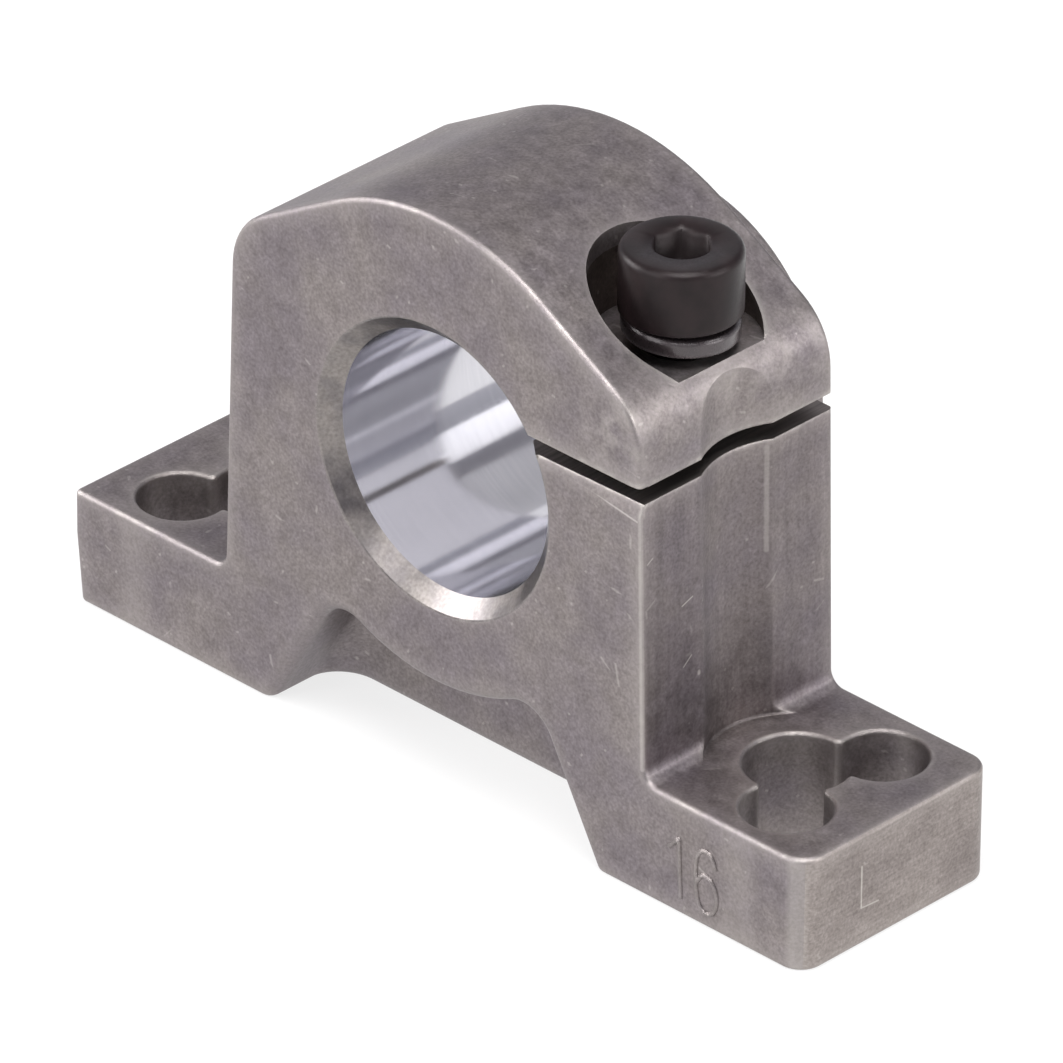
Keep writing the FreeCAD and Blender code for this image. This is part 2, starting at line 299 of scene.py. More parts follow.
def rubbed_edges_and_painted_light(tree, where, tone, mottle, grain, wear):
    """The colour with rubbed edges, a soft halo that is partly wear and partly a painted highlight, and
    inside corners darkened as painted shade; also how worn each place is.
    """
    thin = add(tree, "AmbientOcclusion", out=1, inside=True, samples=4, only_local=True, Distance=EDGE_REACH)
    ragged = add(tree, "Math", add(tree, "MapRange", mottle, *WIDE_SPAN, *MOTTLE_RAGGED),
                 add(tree, "MapRange", grain, *WIDE_SPAN, *GRAIN_RAGGED), operation="ADD")
    worn = add(tree, "MapRange", add(tree, "Math", thin, ragged, operation="ADD"), *EDGE_LIGHT)
    patches = add(tree, "TexNoise", where, Scale=1 / CREST_PATCH_MM, Detail=4.0, Roughness=0.65)
    crest = add(tree, "Math", mark(tree, where, *RUBBED_CREST),
                add(tree, "MapRange", patches, *CREST_SPAN, 0.0, CREST_STRENGTH), operation="MULTIPLY")
    tone = add(tree, "Mix", crest, tone, CREST, data_type="RGBA")
    # The halo beside each edge is lightened: partly wear, partly a painted highlight.
    near = add(tree, "AmbientOcclusion", out=1, inside=True, samples=4, only_local=True, Distance=HALO_REACH)
    halo = add(tree, "MapRange", near, *HALO_LIGHT, 0.0, wear * HALO_SHARE)
    tone = add(tree, "Mix", halo, tone, HALO_WEAR_AND_HIGHLIGHT, data_type="RGBA")
    rubbed = add(tree, "Math", worn, wear, operation="MULTIPLY")
    tone = add(tree, "Mix", rubbed, tone, RUBBED, data_type="RGBA")
    # Inside corners are darkened towards a dark brown here: painted shade.
    deep = add(tree, "AmbientOcclusion", out=1, samples=4, only_local=True, Distance=CORNER_REACH)
    corner_shade = add(tree, "MapRange", deep, *CORNER_LIGHT, CORNER_SHADE_SHARE, 0.0)
    return add(tree, "Mix", corner_shade, tone, CORNER_SHADE, data_type="RGBA"), worn


print("edges are rubbed", EDGE_REACH / MM, "mm wide with a halo of", HALO_REACH / MM, "mm")

# %% [markdown]
# Two places on the casting were worked by something else. The end of the +X foot was trimmed,
# so it is a little brighter and carries fine lines across it. The upright's walls slid out of
# the mould, which dragged long faint streaks down them. Both are the same metal with one more
# layer: noise that is drawn out along one direction, over colour, roughness and relief.


# %% Lines over the casting
def lay_lines(tree, tone, rough, normal, stretch, line_mm, shades, rough_share):
    """Lays lines along one direction over a colour, a roughness and a normal."""
    lines = add(tree, "TexNoise", millimetres(tree, stretch), Scale=1 / line_mm, Detail=3.0, Roughness=0.6)
    tint = add(tree, "Mix", add(tree, "MapRange", lines, 0.32, 0.68), *shades, data_type="RGBA")
    tone = add(tree, "Mix", 1.0, tone, tint, data_type="RGBA", blend_type="MULTIPLY")
    rough = add(tree, "Math", rough, rough_share, operation="MULTIPLY")
    normal = add(tree, "Bump", Height=lines, Normal=normal, Strength=0.4, Distance=LINE_DEPTH)
    return tone, rough, normal


LINE_DEPTH = 0.008 * MM
TRIM_LINES = {"stretch": (1, 14, 1), "line_mm": 0.16, "shades": ("E8E7E6", "FFFFFF"), "rough_share": 0.9}
DRAW_LINES = {"stretch": (1, 1, 22), "line_mm": 0.6, "shades": ("E4E3E4", "F8F7F8"), "rough_share": 1.0}
print("trimming lines every", TRIM_LINES["line_mm"], "mm, drawing lines every", DRAW_LINES["line_mm"], "mm")

# %% [markdown]
# Now the whole metal. It is fully metallic and satin, smoother where it is worn, and its relief
# is the mottling and the grain with the nicks cut into it. A bevel node bends the normal near
# an edge, so the sharp rims of the hollows catch the light as worn ones do. The head pocket's
# rim stays sharp, because stones pass over it.
#
# The same function makes each kind of cast surface. The head pocket's wall gets a darker copy
# of the metal, painted shade for the deep recess, with edges that are rubbed less.

# %% Make the cast finishes
SOFT_EDGE, POCKET_SHADE_EDGE = 0.3 * MM, 0.08 * MM
RELIEF = 0.03 * MM
# The nick colour also paints the placed highlight marks.
NICK_AND_HIGHLIGHT_SHINE, NICK_AND_HIGHLIGHT_COLOUR, NICK_DEPTH = 0.7, "DDD8D2", 0.25
CAST_ROUGHNESS, WORN_SMOOTHER = (0.42, 0.54), 0.1
SHARP_POCKET = ((11.15, 0.0, 33.5), (11.15, 0.0, 34.5), 11.5)


def cast_relief(tree, where, mottle, grain, bright, edge):
    """The normal of the cast surface, with edges softened over the length edge."""
    relief = add(tree, "Math", add(tree, "Math", mottle, 0.5, operation="MULTIPLY"),
                 add(tree, "Math", grain, 0.5, operation="MULTIPLY"), operation="ADD")
    cut = add(tree, "Math", bright, NICK_DEPTH, operation="MULTIPLY")
    relief = add(tree, "Math", relief, cut, operation="SUBTRACT")
    away = add(tree, "MapRange", mark(tree, where, *SHARP_POCKET), 0.25, 0.05)
    sharp_edge = add(tree, "NewGeometry").node.outputs["Normal"]
    soft_edge = add(tree, "Bevel", samples=4, Radius=edge)
    rounded = add(tree, "Mix", away, sharp_edge, soft_edge, data_type="VECTOR")
    return add(tree, "Bump", Height=relief, Normal=rounded, Strength=0.6, Distance=RELIEF)


def make_casting(name, dark="938B8F", light="9F9796", wear=0.7, edge=SOFT_EDGE, lines=None):
    material, tree = new_material(name)
    where = millimetres(tree)
    tone, mottle, grain = cloudy_colour(tree, where, dark, light)
    bright = nicks_and_placed_marks(tree, where)
    # Nicks and placed marks, painted highlights among them, are lightened here.
    shine = add(tree, "Math", bright, NICK_AND_HIGHLIGHT_SHINE, operation="MULTIPLY")
    tone = add(tree, "Mix", shine, tone, NICK_AND_HIGHLIGHT_COLOUR, data_type="RGBA")
    tone, worn = rubbed_edges_and_painted_light(tree, where, tone, mottle, grain, wear)
    rough = add(tree, "Math", add(tree, "MapRange", mottle, 0.25, 0.75, *CAST_ROUGHNESS),
                add(tree, "Math", worn, WORN_SMOOTHER, operation="MULTIPLY"), operation="SUBTRACT")
    normal = cast_relief(tree, where, mottle, grain, bright, edge)
    if lines:
        tone, rough, normal = lay_lines(tree, tone, rough, normal, **lines)
    surface = add(tree, "BsdfPrincipled", Base_Color=tone, Metallic=1.0, Roughness=rough, Normal=normal)
    add(tree, "OutputMaterial", surface)
    return material


casting = make_casting("tumbled_die_cast_aluminium")
trimmed_end = make_casting("trimmed_die_cast_aluminium", "ABA29F", "BBB2AE", lines=TRIM_LINES)
drawn_wall = make_casting("mould_drawn_aluminium", lines=DRAW_LINES)
# A darker copy of the cast metal for the head pocket's wall: painted shade.
pocket_shaded_casting = make_casting("pocket_wall_painted_shade_aluminium", "6E6460", "7C716C", wear=0.2, edge=POCKET_SHADE_EDGE)
for metal in (casting, trimmed_end, drawn_wall, pocket_shaded_casting):
    print(metal.name, "has", len(metal.node_tree.nodes), "nodes")

# %% [markdown]
# ## The reamed bore
# A reamer leaves the bore nearly as bright as a mirror, so it shows the room as streaks along
# the shaft. Its only marks are very fine rings. A low roughness gives the streaks, and noise
# that is thin along the axis gives the rings. The real rings are finer than the render can
# show, so these are drawn coarser and very shallow. A metallic value a little under 1 keeps the
# darkest reflections from going black, as the haze on a reamed wall does.

# %% Make the bore's finish
RING_MM, HAZE_MM = 0.12, 2.5
BORE_SHADES, BORE_METALLIC, BORE_ROUGHNESS = ("D2D1D7", "D8D7DC"), 0.93, (0.085, 0.12)
RING_DEPTH = 0.002 * MM


def make_bore():
    material, tree = new_material("reamed_aluminium")
    round_axis = millimetres(tree, (40, 1, 40))
    rings = add(tree, "TexNoise", round_axis, Scale=1 / RING_MM, Detail=3.0, Roughness=0.6)
    haze = add(tree, "TexNoise", millimetres(tree), Scale=1 / HAZE_MM)
    tone = add(tree, "Mix", add(tree, "MapRange", rings, *WIDE_SPAN), *BORE_SHADES, data_type="RGBA")
    rough = add(tree, "MapRange", haze, *WIDE_SPAN, *BORE_ROUGHNESS)
    normal = add(tree, "Bump", Height=rings, Strength=0.06, Distance=RING_DEPTH)
    surface = add(tree, "BsdfPrincipled", Base_Color=tone, Metallic=BORE_METALLIC, Roughness=rough,
                  Normal=normal)
    add(tree, "OutputMaterial", surface)
    return material


bore_metal = make_bore()
print(bore_metal.name, "has rings every", RING_MM, "mm")

# %% [markdown]
# ## The chamfers
# The chamfers at the bore's ends were turned with a countersink, which chatters. They are the
# same aluminium, but rougher than the bore and patchy.

# %% Make the chamfers' finish
CHATTER_MM, CHATTER_DEPTH = 1.6, 0.012 * MM
CHAMFER_ROUGHNESS = (0.3, 0.42)


def make_chamfer():
    material, tree = new_material("countersunk_aluminium")
    where = millimetres(tree)
    patch = add(tree, "TexNoise", where, Scale=1 / CHATTER_MM)
    grain = add(tree, "TexNoise", where, Scale=1 / GRAIN_MM, Detail=3.0)
    tone = add(tree, "Mix", add(tree, "MapRange", patch, *TIGHT_SPAN), "827D7D", "98928F", data_type="RGBA")
    darker = add(tree, "Mix", 1.0, tone, "DCDBD9", data_type="RGBA", blend_type="MULTIPLY")
    tone = add(tree, "Mix", add(tree, "MapRange", grain, *WIDE_SPAN), darker, tone, data_type="RGBA")
    rough = add(tree, "MapRange", patch, *WIDE_SPAN, *CHAMFER_ROUGHNESS)
    relief = add(tree, "Math", patch, grain, operation="ADD")
    normal = add(tree, "Bump", Height=relief, Strength=0.3, Distance=CHATTER_DEPTH)
    surface = add(tree, "BsdfPrincipled", Base_Color=tone, Metallic=1.0, Roughness=rough, Normal=normal)
    add(tree, "OutputMaterial", surface)
    return material


chamfer_metal = make_chamfer()
print(chamfer_metal.name, "has patches of", CHATTER_MM, "mm")

# %% [markdown]
# ## The slitting saw's cut
# The clamp slit is sawn after casting. Its faces carry fine parallel lines and little light
# reaches them, so this is a duller, lined version of the same metal.

# %% Make the slit's finish
SAW_LINE_MM, SAW_DEPTH, SAWN_ROUGHNESS = 0.25, 0.02 * MM, 0.45


def make_sawn():
    material, tree = new_material("sawn_aluminium")
    lines = add(tree, "TexNoise", millimetres(tree, (1, 30, 1)), Scale=1 / SAW_LINE_MM)
    tone = add(tree, "Mix", add(tree, "MapRange", lines, *WIDE_SPAN), "6F6967", "8D8683", data_type="RGBA")
    normal = add(tree, "Bump", Height=lines, Strength=0.4, Distance=SAW_DEPTH)
    surface = add(tree, "BsdfPrincipled", Base_Color=tone, Metallic=1.0, Roughness=SAWN_ROUGHNESS,
                  Normal=normal)
    add(tree, "OutputMaterial", surface)
    return material


sawn_metal = make_sawn()
print(sawn_metal.name, "has lines every", SAW_LINE_MM, "mm")

# %% [markdown]
# ## Black oxide steel
# Screw and washer are blackened in a hot salt bath. The layer is thin and not quite black: it
# is a matt charcoal with a little brown in it, and rubbed edges let the steel through. The
# bottom of the socket gets hardly any light and is almost black. The head's rim is rounder than
# the solid's, so a bevel node bends its normal. The washer still has its oil, a clear coat that
# draws a bright line along its upper edge.

# %% Make the black steel
STEEL_CLOUD_MM, STEEL_GRAIN_MM = 1.6, 0.15
STEEL_WEAR_REACH, STEEL_SHADE_REACH, STEEL_EDGE = 0.25 * MM, 2.2 * MM, 0.32 * MM
BARE_STEEL, SHADED_STEEL = "5E5658", "080505"
STEEL_GRAIN_DEPTH, OIL_ROUGHNESS = 0.012 * MM, 0.16
OPEN_SHINE, SHADED_SHINE = 0.35, 0.05


def make_black_steel(name, dark, light, roughness, metallic, shade, wear, oil):
    material, tree = new_material(name)
    where = millimetres(tree)
    cloud = add(tree, "TexNoise", where, Scale=1 / STEEL_CLOUD_MM, Detail=3.0)
    grain = add(tree, "TexNoise", where, Scale=1 / STEEL_GRAIN_MM)
    tone = add(tree, "Mix", add(tree, "MapRange", cloud, *TIGHT_SPAN), dark, light, data_type="RGBA")
    thin = add(tree, "AmbientOcclusion", out=1, inside=True, samples=8, only_local=True,
               Distance=STEEL_WEAR_REACH)
    ragged = add(tree, "Math", thin, add(tree, "MapRange", grain, *WIDE_SPAN, -0.1, 0.1), operation="ADD")
    worn = add(tree, "Math", add(tree, "MapRange", ragged, *EDGE_LIGHT), wear, operation="MULTIPLY")
    tone = add(tree, "Mix", worn, tone, BARE_STEEL, data_type="RGBA")
    deep = add(tree, "AmbientOcclusion", out=1, samples=8, only_local=True, Distance=STEEL_SHADE_REACH)
    hidden = add(tree, "MapRange", deep, 0.3, 0.9, shade, 0.0)
    tone = add(tree, "Mix", hidden, tone, SHADED_STEEL, data_type="RGBA")
    rough = add(tree, "Math", add(tree, "MapRange", grain, 0.25, 0.75, roughness - 0.05, roughness + 0.06),
                add(tree, "Math", hidden, 0.5, operation="MULTIPLY"), operation="ADD")
    soft_edge = add(tree, "Bevel", samples=4, Radius=STEEL_EDGE)
    normal = add(tree, "Bump", Height=grain, Normal=soft_edge, Strength=0.15, Distance=STEEL_GRAIN_DEPTH)
    surface = add(tree, "BsdfPrincipled", Base_Color=tone, Metallic=metallic, Roughness=rough, Normal=normal,
                  Specular_IOR_Level=add(tree, "MapRange", hidden, 0.0, 0.6, OPEN_SHINE, SHADED_SHINE),
                  Coat_Weight=oil, Coat_Roughness=OIL_ROUGHNESS, Coat_Normal=soft_edge)
    add(tree, "OutputMaterial", surface)
    return material


screw_steel = make_black_steel("black_oxide_steel", "1A1314", "241B1C", roughness=0.33, metallic=0.35,
                               shade=0.95, wear=0.3, oil=0.0)
washer_steel = make_black_steel("black_oxide_spring_steel", "3A3335", "443C3E", roughness=0.3, metallic=0.6,
                                shade=0.3, wear=0.0, oil=1.0)
print("made", screw_steel.name, "and", washer_steel.name)

# %% [markdown]
# ## Which face gets which finish
# The block is one solid, but a reamer, a countersink and a saw have been over parts of it. Each
# face is sorted by where its middle is and which way it looks.

# %% Sort the faces of the block
SLIT_Z = 25.15 * MM
POCKET_X, POCKET_Z, POCKET_REACH = 11.15 * MM, 30.3 * MM, 4.95 * MM
NEAR, CHAMFER_REACH, END_REACH = 0.03 * MM, 1.3 * MM, 0.35 * MM
WALL_INNER, WALL_OUTER = 12 * MM, 18 * MM
CAST, BORE, SAWN, CHAMFER, TRIMMED, DRAWN, POCKET_SHADE = range(7)
finishes = (casting, bore_metal, sawn_metal, chamfer_metal, trimmed_end, drawn_wall, pocket_shaded_casting)


def finish_of(face):
    """The number of the finish for a face of the block."""
    middle, normal = face.center, face.normal
    from_axis = math.hypot(middle.x, middle.z - bore_axis.z)
    facing_in = (middle.x * normal.x + (middle.z - bore_axis.z) * normal.z) < 0
    if from_axis < bore_r + NEAR and facing_in and abs(normal.y) < 0.3:
        return BORE
    if from_axis < bore_r + CHAMFER_REACH and facing_in and 0.5 < abs(normal.y) < 0.985:
        return CHAMFER
    in_slit = bore_r * 0.9 < middle.x and abs(middle.z - SLIT_Z) < 1 * MM
    if in_slit and abs(normal.z) > 0.95 and from_axis > bore_r + NEAR:
        return SAWN
    in_pocket = middle.z > POCKET_Z and math.hypot(middle.x - POCKET_X, middle.y) < POCKET_REACH
    # The head pocket's wall takes the darker copy: painted shade.
    if in_pocket and (middle.x - POCKET_X) * normal.x + middle.y * normal.y < -1 * MM:
        return POCKET_SHADE
    if middle.x > end_x - END_REACH and normal.x > 0.6:
        return TRIMMED
    on_wall = foot_top < middle.z < SLIT_Z and WALL_INNER < abs(middle.x) < WALL_OUTER
    return DRAWN if on_wall and abs(normal.x) > 0.8 else CAST


block = frame["nodes"]["support_body"]
block.data.materials.clear()
for metal in finishes:
    block.data.materials.append(metal)
counts = [0] * len(finishes)
for face in block.data.polygons:
    face.material_index = finish_of(face)
    counts[face.material_index] += 1
frame["nodes"]["lock_washer"].data.materials[0] = washer_steel
print({metal.name: count for metal, count in zip(finishes, counts)})

# %% [markdown]
# ## Helpers for Geometry Nodes
# A node tree with named inputs works like a small machine: the same tree makes a thread of any
# pitch. Its inputs are set by their identifiers, the result is copied into a plain mesh, and the
# modifier is dropped, so that what is left is ordinary geometry.


# %% Build, run and freeze a Geometry Nodes tree
def new_geometry_tree(name, inputs):
    """A tree with these (name, kind, value) inputs, and the sockets that give them inside it."""
    tree = bpy.data.node_groups.new(name, "GeometryNodeTree")
    tree.interface.new_socket("Geometry", in_out="INPUT", socket_type="NodeSocketGeometry")
    for label, kind, value in inputs:
        socket = tree.interface.new_socket(label, in_out="INPUT", socket_type="NodeSocket" + kind)
        if value is not None:
            socket.default_value = value
    tree.interface.new_socket("Geometry", in_out="OUTPUT", socket_type="NodeSocketGeometry")
    return tree, add(tree, "NodeGroupInput").node.outputs


def end_geometry_tree(tree, geometry, material):
    """Ends a tree: copies are made real, and the mesh gets its material."""
    real = add(tree, "GeometryNodeRealizeInstances", Geometry=geometry)
    add(tree, "NodeGroupOutput", add(tree, "GeometryNodeSetMaterial", Geometry=real, Material=material))


def run_geometry_tree(name, source, tree, **values):
    """Runs a tree on a source object and gives a new object with the plain mesh."""
    modifier = source.modifiers.new(tree.name, "NODES")
    modifier.node_group = tree
    sockets = {item.name: item.identifier for item in tree.interface.items_tree if item.in_out == "INPUT"}
    for label, value in values.items():
        modifier[sockets[label.replace("_", " ")]] = value
    bpy.context.view_layer.update()
    seen = source.evaluated_get(bpy.context.evaluated_depsgraph_get())
    mesh = bpy.data.meshes.new_from_object(seen)
    mesh.name = name
    source.modifiers.remove(modifier)
    bpy.data.objects.remove(source)
    return place(name, mesh)


# %% [markdown]
# ## The clamp screw's thread
# The screw is M4, so its thread climbs 0.7 mm in each turn, and the solid's shank is a plain
# cylinder. Sweeping a tooth along a helix is one way to cut a thread. Bending a flat grid is
# tidier: one side of the grid goes round the screw, the other goes up it, and each point's
# radius is a tooth that is shifted by one pitch in each turn, so that the rows join up.

# %% Sizes of the thread
PITCH_MM, OUTER_MM, ROOT_MM, POINT_MM = 0.7, 1.955, 1.56, 0.45
ROWS_PER_TURN, POINTS_ROUND = 12, 49
ROOT_SHARE, CREST_SHARE = 0.07, 0.44
SAME_PLACE = 1e-7
screw_low, screw_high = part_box("clamp_screw")
screw_x = (screw_low.x + screw_high.x) / 2
head_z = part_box("lock_washer")[1].z
thread_length = head_z - screw_low.z
print("thread:", round(thread_length / MM, 2), "mm or", round(thread_length / MM / PITCH_MM, 1), "turns")


# %% Grow the thread from a grid
def tooth_radius(tree, inputs, around, up, height):
    """The thread's radius at a share of the way round and a height, closed at both ends."""
    turns = add(tree, "Math", height, inputs["Pitch"], operation="DIVIDE")
    shifted = add(tree, "Math", turns, around, operation="SUBTRACT")
    phase = add(tree, "Math", shifted, 0.5, operation="PINGPONG")
    tooth = add(tree, "MapRange", phase, ROOT_SHARE, CREST_SHARE)
    depth = add(tree, "Math", inputs["Outer radius"], inputs["Root radius"], operation="SUBTRACT")
    raised = add(tree, "Math", tooth, depth, operation="MULTIPLY")
    radius = add(tree, "Math", inputs["Root radius"], raised, operation="ADD")
    tip = add(tree, "Math", inputs["Outer radius"], inputs["Point"], operation="SUBTRACT")
    point_radius = add(tree, "Math", height, tip, operation="ADD")
    radius = add(tree, "Math", radius, point_radius, operation="MINIMUM")
    inside = add(tree, "Math", add(tree, "Math", up, 0.0001, operation="GREATER_THAN"),
                 add(tree, "Math", up, 0.9999, operation="LESS_THAN"), operation="MULTIPLY")
    return add(tree, "Math", radius, inside, operation="MULTIPLY")


def make_thread():
    tree, inputs = new_geometry_tree("screw thread", (
        ("Length", "Float", 0.016), ("Pitch", "Float", 0.0007), ("Outer radius", "Float", 0.002),
        ("Root radius", "Float", 0.0015), ("Point", "Float", 0.0004), ("Place", "Vector", None),
        ("Material", "Material", None)))
    rows = round(thread_length / MM / PITCH_MM * ROWS_PER_TURN)
    grid = add(tree, "GeometryNodeMeshGrid", Size_X=1.0, Size_Y=1.0, Vertices_X=POINTS_ROUND, Vertices_Y=rows)
    spot = add(tree, "SeparateXYZ", add(tree, "GeometryNodeInputPosition")).node.outputs
    around = add(tree, "Math", spot[0], 0.5, operation="ADD")
    up = add(tree, "Math", spot[1], 0.5, operation="ADD")
    angle = add(tree, "Math", around, math.tau, operation="MULTIPLY")
    height = add(tree, "Math", up, inputs["Length"], operation="MULTIPLY")
    radius = tooth_radius(tree, inputs, around, up, height)
    x = add(tree, "Math", add(tree, "Math", angle, operation="COSINE"), radius, operation="MULTIPLY")
    y = add(tree, "Math", add(tree, "Math", angle, operation="SINE"), radius, operation="MULTIPLY")
    moved = add(tree, "VectorMath", add(tree, "CombineXYZ", x, y, height), inputs["Place"], operation="ADD")
    bent = add(tree, "GeometryNodeSetPosition", Geometry=grid, Position=moved)
    closed = add(tree, "GeometryNodeMergeByDistance", Geometry=bent, Distance=SAME_PLACE)
    end_geometry_tree(tree, closed, inputs["Material"])
    source = place("thread_source", bpy.data.meshes.new("thread_source"))
    return run_geometry_tree("thread", source, tree, Length=thread_length, Pitch=PITCH_MM * MM,
                             Outer_radius=OUTER_MM * MM, Root_radius=ROOT_MM * MM, Point=POINT_MM * MM,
                             Place=(screw_x, 0.0, screw_low.z), Material=screw_steel)


thread = make_thread()
print("thread:", len(thread.data.polygons), "faces")

# %% [markdown]
# The head stays as the solid has it: its faces are copied, the loose triangles are joined, and
# the hole that the shank leaves under the head is closed. Head and thread become one piece that
# takes the solid screw's place.

# %% Join the head to the thread
BELOW_HEAD = 1e-6
SHARP_ANGLE = math.radians(35)


def make_screw():
    shape = bmesh.new()
    shape.from_mesh(frame["nodes"]["clamp_screw"].data)
    bmesh.ops.remove_doubles(shape, verts=shape.verts, dist=SAME_PLACE)
    below = [face for face in shape.faces if face.calc_center_median().z < head_z - BELOW_HEAD]
    bmesh.ops.delete(shape, geom=below, context="FACES")
    rim = [edge for edge in shape.edges if len(edge.link_faces) == 1]
    bmesh.ops.holes_fill(shape, edges=rim, sides=0)
    shape.from_mesh(thread.data)
    bmesh.ops.recalc_face_normals(shape, faces=shape.faces)
    mesh = bpy.data.meshes.new("threaded_clamp_screw")
    shape.to_mesh(mesh)
    shape.free()
    mesh.materials.append(screw_steel)
    for polygon in mesh.polygons:
        polygon.material_index = 0
    mesh.shade_smooth()
    mesh.set_sharp_from_angle(angle=SHARP_ANGLE)
    bpy.data.objects.remove(thread)
    return place("threaded_clamp_screw", mesh)


screw = make_screw()
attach(screw, "root")
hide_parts("clamp_screw")
print("screw:", len(screw.data.polygons), "faces")

# %% [markdown]
# ## The cast number
# The mould carries the shaft size as a shallow engraving, so the casting has it as thin raised
# strokes. Each stroke is a path on the foot's front face. The tree sweeps a round profile along
# the paths and presses it flat, as a worn casting mark is.

# %% Draw the strokes of the number
ONE_MM = ((18.45, 4.02), (19.21, 4.86), (19.4, 1.05))
SIX_MM = ((22.02, 4.0), (21.85, 4.62), (21.35, 4.98), (20.8, 4.78), (20.52, 4.1), (20.5, 3.0), (20.6, 1.8),
          (20.95, 1.02), (21.5, 0.85), (22.0, 1.25), (22.18, 2.1), (21.95, 3.0), (21.35, 3.4), (20.85, 3.2),
          (20.56, 2.6))


def number_paths():
    """The strokes as one curve object, the 1 with straight runs and the 6 smooth."""
    data = bpy.data.curves.new("number_paths", "CURVE")
    data.dimensions = "3D"
    for spots, smooth in ((ONE_MM, False), (SIX_MM, True)):
        spline = data.splines.new("NURBS" if smooth else "POLY")
        spline.points.add(len(spots) - 1)
        for point, (x, z) in zip(spline.points, spots):
            point.co = (x * MM, front_y, z * MM, 1)
        if smooth:
            spline.order_u, spline.use_endpoint_u, spline.resolution_u = 3, True, 6
    return place("number_paths", data)


print("the 1 has", len(ONE_MM), "points and the 6 has", len(SIX_MM))

# %% Sweep the strokes
STROKE_WIDE_MM, STROKE_HIGH_MM = 0.3, 0.1
STROKE_STEPS, PROFILE_POINTS = 48, 12


def make_number():
    tree, inputs = new_geometry_tree("cast strokes", (
        ("Width", "Float", 0.0003), ("Height", "Float", 0.0001), ("Face", "Float", 0.0),
        ("Material", "Material", None)))
    half = add(tree, "Math", inputs["Width"], 0.5, operation="MULTIPLY")
    profile = add(tree, "GeometryNodeCurvePrimitiveCircle", mode="RADIUS", Resolution=PROFILE_POINTS,
                  Radius=half)
    even = add(tree, "GeometryNodeResampleCurve", Curve=inputs["Geometry"], Count=STROKE_STEPS)
    swept = add(tree, "GeometryNodeCurveToMesh", Curve=even, Profile_Curve=profile, Fill_Caps=True)
    spot = add(tree, "SeparateXYZ", add(tree, "GeometryNodeInputPosition")).node.outputs
    share = add(tree, "Math", inputs["Height"], half, operation="DIVIDE")
    proud = add(tree, "Math", spot[1], inputs["Face"], operation="SUBTRACT")
    pressed = add(tree, "Math", proud, share, operation="MULTIPLY")
    y = add(tree, "Math", pressed, inputs["Face"], operation="ADD")
    spread = add(tree, "CombineXYZ", spot[0], y, spot[2])
    flat = add(tree, "GeometryNodeSetPosition", Geometry=swept, Position=spread)
    end_geometry_tree(tree, add(tree, "GeometryNodeSetShadeSmooth", Geometry=flat), inputs["Material"])
    return run_geometry_tree("cast_number", number_paths(), tree, Width=STROKE_WIDE_MM * MM,
                             Height=STROKE_HIGH_MM * MM, Face=front_y,
                             Material=make_casting("cast_number_aluminium", wear=0.1))


number = make_number()
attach(number, "root")
print("number:", len(number.data.polygons), "faces")

# %% [markdown]
# ## The floor
# The part stands on plain white paper. Paper that is bright enough to look pure white would
# throw too much light up at the block. So the camera and the reflections see a floor that glows
# by itself in part, and all other light meets ordinary paper.

# %% Make the floor
FLOOR_HALF = 1.5
FLOOR_GLOW = 0.78


def make_floor():
    mesh = bpy.data.meshes.new("floor")
    corners = [(x * FLOOR_HALF, y * FLOOR_HALF, 0) for x, y in ((-1, -1), (1, -1), (1, 1), (-1, 1))]
    mesh.from_pydata(corners, [], [(0, 1, 2, 3)])
    material, tree = new_material("white_paper")
    rays = add(tree, "LightPath").node.outputs
    seen = add(tree, "Math", rays["Is Camera Ray"], rays["Is Glossy Ray"], operation="MAXIMUM")
    seen = add(tree, "Math", seen, rays["Is Transmission Ray"], operation="MAXIMUM")
    share = add(tree, "Math", seen, FLOOR_GLOW, operation="MULTIPLY")
    paper = add(tree, "BsdfDiffuse", "F4F3F2")
    glow = add(tree, "Emission", "FFFFFF", 1.0)
    add(tree, "OutputMaterial", add(tree, "MixShader", share, paper, glow))
    mesh.materials.append(material)
    return place("floor", mesh)


make_floor()
print("floor:", 2 * FLOOR_HALF, "m wide")

# %% [markdown]
# ## The lights
# The photograph's soft boxes can be found in the metal itself: the bore mirrors them as
# streaks, and each flat face is as bright as the light that it faces. Each one here is named
# for where it stands. Its place is an angle round the block from the front, an angle up and a
# distance in metres, then its width and height in metres and its power in watts.

# %% Place the lights
SOFT_BOXES = (
    ("front_box", -5, 32, 1.0, (0.5, 0.6), 3.5),
    ("front_left_box", -60, 25, 1.0, (0.6, 0.6), 9),
    ("top_box", 60, 78, 1.1, (0.6, 0.6), 13),
    ("right_box", 111, 23.5, 1.0, (0.55, 0.34), 4.2),
    ("bore_card", 131.8, 23.5, 1.0, (0.16, 0.34), 0.19),
    ("back_card", 175, 49, 1.0, (1.0, 0.14), 0.17),
    ("back_left_box", 225, 35, 1.0, (0.6, 0.5), 0.38),
)
BLOCK_MIDDLE = Vector((0, 0, 0.015))


def direction(azimuth, elevation):
    """The way from the block towards something at these angles, in degrees."""
    a, e = math.radians(azimuth), math.radians(elevation)
    return Vector((math.sin(a) * math.cos(e), -math.cos(a) * math.cos(e), math.sin(e)))


def soft_box(name, azimuth, elevation, distance, size, power):
    """A rectangular area light that looks at the block."""
    back = direction(azimuth, elevation)
    data = bpy.data.lights.new(name, "AREA")
    data.shape, data.size, data.size_y, data.energy = "RECTANGLE", size[0], size[1], power
    lamp = place(name, data)
    lamp.location = BLOCK_MIDDLE + back * distance
    lamp.rotation_mode = "QUATERNION"
    lamp.rotation_quaternion = back.to_track_quat("Z", "Y")


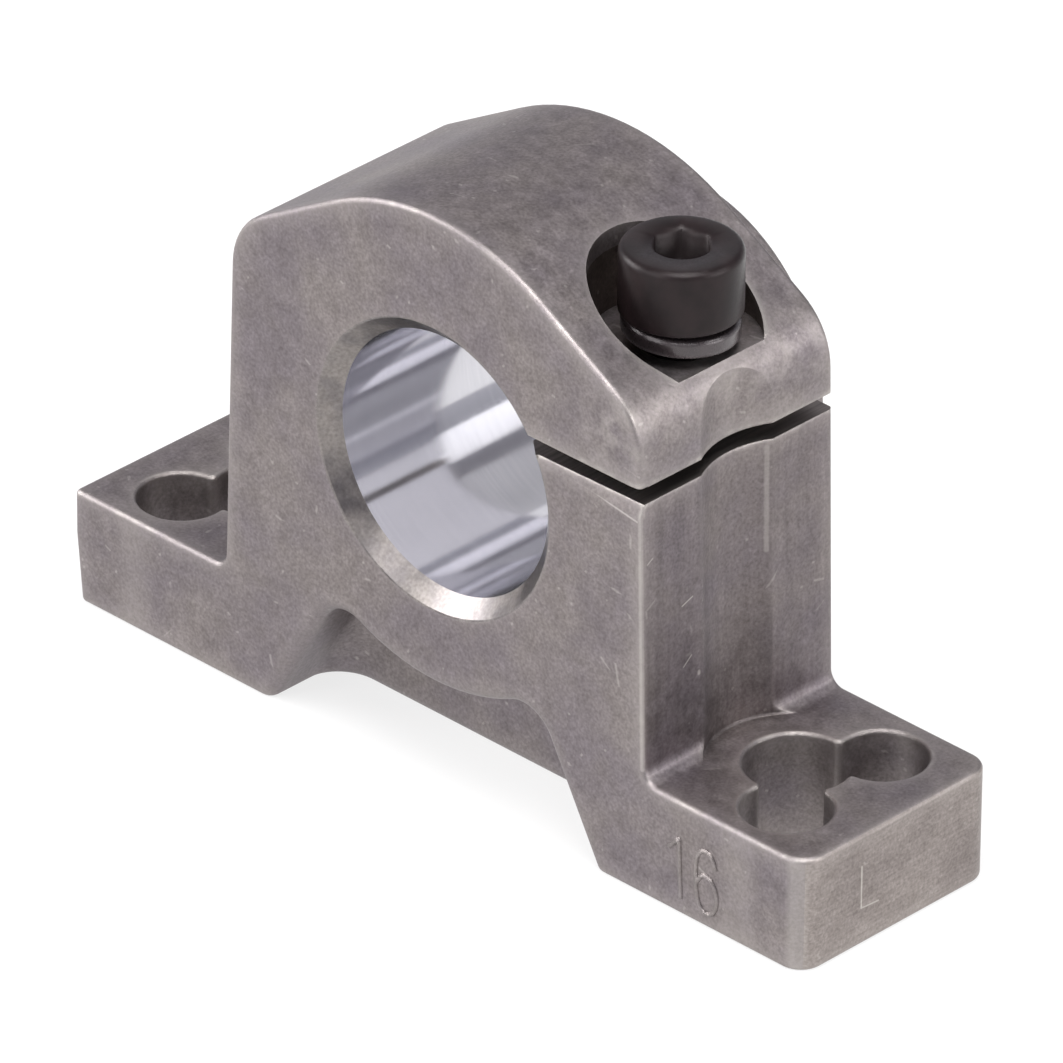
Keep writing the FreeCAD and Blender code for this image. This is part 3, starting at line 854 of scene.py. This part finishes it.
for box in SOFT_BOXES:
    soft_box(*box)
print(len(SOFT_BOXES), "lights,", round(sum(box[-1] for box in SOFT_BOXES), 2), "W in all")

# %% [markdown]
# ## The room
# Between the soft boxes the metal mirrors the room, which was light near the floor and dim
# overhead. A ramp over the height of each direction gives the room its greys.

# %% Make the room
ROOM_TONES = ((0, "C2C2C8"), (15, "AAAAB1"), (30, "918F95"), (50, "7E7D82"), (90, "6C6C6E"))


def make_room():
    """A room whose grey changes with the height above the horizon, in degrees."""
    world = bpy.data.worlds.new("room")
    bpy.context.scene.world = world
    world.use_nodes = True
    tree = world.node_tree
    tree.nodes.clear()
    toward = add(tree, "SeparateXYZ", add(tree, "TexCoord").node.outputs["Generated"]).node.outputs
    ramp = add(tree, "ValToRGB", toward["Z"])
    stops = ramp.node.color_ramp.elements
    stops.remove(stops[1])
    stops[0].color = linear(ROOM_TONES[0][1])
    for degrees, tone in ROOM_TONES[1:]:
        stops.new(math.sin(math.radians(degrees))).color = linear(tone)
    add(tree, "OutputWorld", add(tree, "Background", ramp, 1.0))


make_room()
print("room:", len(ROOM_TONES), "greys")

# %% [markdown]
# ## The camera
# The camera's numbers come from matching the photograph's edges: how far round the block it
# stands, how high, how far away, and how long its lens is for a 36 mm sensor.

# %% Place the camera
CAMERA_AZIMUTH, CAMERA_ELEVATION, CAMERA_ROLL = 44.061, 30.681, 0.552
CAMERA_TARGET = Vector((0.29, 0.0, 13.342)) * MM
CAMERA_DISTANCE = 793.31 * MM
SENSOR_MM, PHOTO_WIDTH_PX, FOCAL_PX = 36.0, 1063, 14206.8
CLIP_START, CLIP_END = 0.05, 10.0


def make_camera():
    back = direction(CAMERA_AZIMUTH, CAMERA_ELEVATION)
    right = Vector((0, 0, 1)).cross(back).normalized()
    up = back.cross(right)
    r = math.radians(CAMERA_ROLL)
    right, up = right * math.cos(r) + up * math.sin(r), up * math.cos(r) - right * math.sin(r)
    data = bpy.data.cameras.new("camera")
    data.sensor_width = SENSOR_MM
    data.lens = FOCAL_PX / PHOTO_WIDTH_PX * SENSOR_MM
    data.clip_start, data.clip_end = CLIP_START, CLIP_END
    camera = place("camera", data)
    turn = Matrix((right, up, back)).transposed().to_4x4()
    camera.matrix_world = Matrix.Translation(CAMERA_TARGET + back * CAMERA_DISTANCE) @ turn
    return camera


camera = make_camera()
bpy.context.scene.camera = camera
bpy.context.scene.view_settings.view_transform = "Standard"
print("lens", round(camera.data.lens, 1), "mm")
